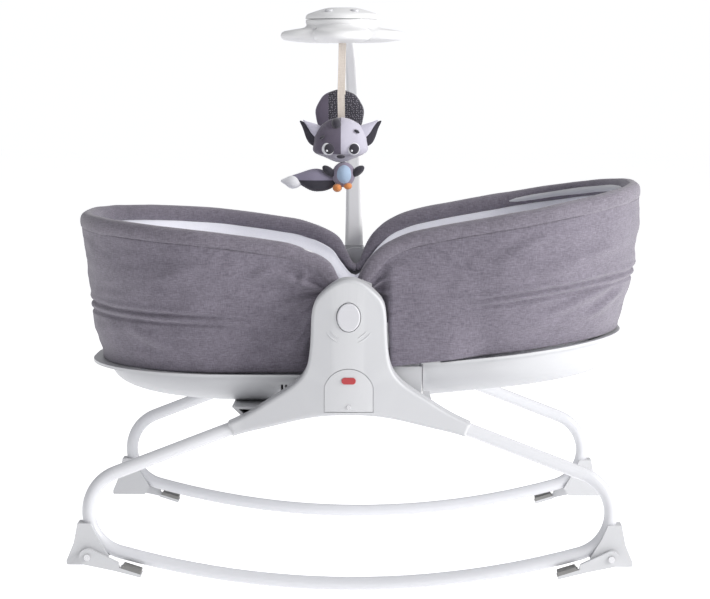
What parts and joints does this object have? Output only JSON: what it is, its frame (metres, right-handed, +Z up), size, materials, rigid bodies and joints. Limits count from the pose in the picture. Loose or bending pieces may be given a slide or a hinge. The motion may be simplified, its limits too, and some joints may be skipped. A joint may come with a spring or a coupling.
{
  "type": "baby rocker with reclining bassinet and toy arm",
  "caption": "Baby rocker: fabric bassinet with reclining head half between towers on bent tube rocker rails, flip-out feet and a swivelling arm with hanging toys.",
  "frame": {"origin": "on the floor, midway between the two rocker rails and under the recline axis", "axes": "+X towards the head end, +Y away from the near side, +Z up"},
  "size_m": [0.787, 0.558, 0.783],
  "materials": {
    "enamel_steel": "satin powder coat",
    "bare_steel": "zinc plated",
    "shell_plastic": "fine satin moulding",
    "arm_plastic": "fine satin moulding",
    "button_plastic": "satin",
    "inner_plastic": "plain moulding",
    "badge_plastic": "gloss",
    "melange_cloth": "heathered woven polyester",
    "liner_cloth": "soft jersey over wadding",
    "webbing": "woven webbing",
    "ribbon": "grosgrain ribbon",
    "toy_plush": "short plush and jersey",
    "toy_print": "dotted cotton",
    "sole_rubber": "matt",
    "cell_sleeve": "sleeve"
  },
  "bodies": {
    "base": {"arm_socket": "shell_plastic", "badge": "badge_plastic", "batteries": "cell_sleeve", "buckle_body": "inner_plastic", "cross_beam": "shell_plastic", "cross_tubes": "bare_steel", "foot_bracket_foot_far": "shell_plastic", "foot_bracket_foot_near": "shell_plastic", "foot_bracket_head_far": "shell_plastic", "foot_bracket_head_near": "shell_plastic", "foot_cloth": "melange_cloth", "foot_hoop": "enamel_steel", "foot_rim_sleeve": "melange_cloth", "harness_straps": "webbing", "main_tray": "shell_plastic", "pivot_bush_far": "inner_plastic", "pivot_bush_near": "inner_plastic", "rail_far": "enamel_steel", "rail_near": "enamel_steel", "release_spring_far": "bare_steel", "release_spring_near": "bare_steel", "screws_and_pins": "bare_steel", "seat_pad": "liner_cloth", "tower_back_far": "shell_plastic", "tower_back_near": "shell_plastic", "tower_cover_far": "shell_plastic", "tower_cover_near": "shell_plastic", "tower_doors": "shell_plastic", "vibration_housing": "inner_plastic", "vibration_motor": "bare_steel"},
    "back_section": {"head_tray": "shell_plastic", "head_hoop": "enamel_steel", "head_rim_sleeve": "melange_cloth", "head_cloth": "melange_cloth", "back_pad": "liner_cloth", "hinge_plate_near": "shell_plastic", "hinge_plate_far": "shell_plastic"},
    "release_near": {"release_button_near": "button_plastic"},
    "release_far": {"release_button_far": "button_plastic"},
    "toy_arm": {"toy_arm": "arm_plastic", "hub_body": "arm_plastic", "hub_dome": "arm_plastic", "hub_speaker": "inner_plastic", "hub_batteries": "cell_sleeve"},
    "music_button": {"music_button": "button_plastic"},
    "mode_button": {"mode_button": "button_plastic"},
    "fox": {"fox_toy": "toy_plush", "fox_ribbon": "ribbon"},
    "round_toy": {"round_toy": "toy_print", "ball_ribbon": "ribbon"},
    "vibration_weight": {"vibration_weight": "bare_steel"},
    "buckle_button": {"buckle_button": "badge_plastic"},
    "foot_head_near": {"foot_lever_head_near": "shell_plastic", "foot_pad_head_near": "sole_rubber"},
    "foot_head_far": {"foot_lever_head_far": "shell_plastic", "foot_pad_head_far": "sole_rubber"},
    "foot_foot_near": {"foot_lever_foot_near": "shell_plastic", "foot_pad_foot_near": "sole_rubber"},
    "foot_foot_far": {"foot_lever_foot_far": "shell_plastic", "foot_pad_foot_far": "sole_rubber"}
  },
  "joints": [
    {"name": "recline", "type": "hinge", "parent": "base", "child": "back_section", "pos_m": [0, 0, 0.372], "axis": [0, -1, 0], "range_deg": [0, 40]},
    {"name": "release_near_press", "type": "slide", "parent": "base", "child": "release_near", "axis": [0, 1, 0], "range_m": [0, 0.004], "stiffness_N_per_m": 400, "springref_m": -0.003, "deforming": ["release_spring_near"]},
    {"name": "release_far_press", "type": "slide", "parent": "base", "child": "release_far", "axis": [0, -1, 0], "range_m": [0, 0.004], "stiffness_N_per_m": 400, "springref_m": -0.003, "deforming": ["release_spring_far"]},
    {"name": "toy_arm_swivel", "type": "hinge", "parent": "base", "child": "toy_arm", "pos_m": [-0.004, 0.255, 0.424], "axis": [0, 0, -1], "range_deg": [-75, 90]},
    {"name": "music_button_press", "type": "slide", "parent": "toy_arm", "child": "music_button", "axis": [0, 0, -1], "range_m": [0, 0.002], "stiffness_N_per_m": 300, "springref_m": -0.002},
    {"name": "mode_button_press", "type": "slide", "parent": "toy_arm", "child": "mode_button", "axis": [0, 0, -1], "range_m": [0, 0.002], "stiffness_N_per_m": 300, "springref_m": -0.002},
    {"name": "fox_swing", "type": "hinge", "parent": "toy_arm", "child": "fox", "pos_m": [-0.015, -0.016, 0.729], "axis": [0, 1, 0], "range_deg": [-20, 20]},
    {"name": "round_toy_swing", "type": "hinge", "parent": "toy_arm", "child": "round_toy", "pos_m": [-0.015, 0.016, 0.729], "axis": [0, 1, 0], "range_deg": [-20, 20]},
    {"name": "vibration_spin", "type": "hinge", "parent": "base", "child": "vibration_weight", "pos_m": [-0.107, -0.12, 0.26], "axis": [1, 0, 0], "continuous": true},
    {"name": "buckle_press", "type": "slide", "parent": "base", "child": "buckle_button", "axis": [0, 0, -1], "range_m": [0, 0.002], "stiffness_N_per_m": 300, "springref_m": -0.002},
    {"name": "flip_foot_head_near", "type": "hinge", "parent": "base", "child": "foot_head_near", "pos_m": [0.35, -0.2675, 0.048], "axis": [0, -1, 0], "range_deg": [0, 127]},
    {"name": "flip_foot_head_far", "type": "hinge", "parent": "base", "child": "foot_head_far", "pos_m": [0.35, 0.2675, 0.048], "axis": [0, -1, 0], "range_deg": [0, 127]},
    {"name": "flip_foot_foot_near", "type": "hinge", "parent": "base", "child": "foot_foot_near", "pos_m": [-0.35, -0.2675, 0.048], "axis": [0, 1, 0], "range_deg": [0, 127]},
    {"name": "flip_foot_foot_far", "type": "hinge", "parent": "base", "child": "foot_foot_far", "pos_m": [-0.35, 0.2675, 0.048], "axis": [0, 1, 0], "range_deg": [0, 127]}
  ]
}
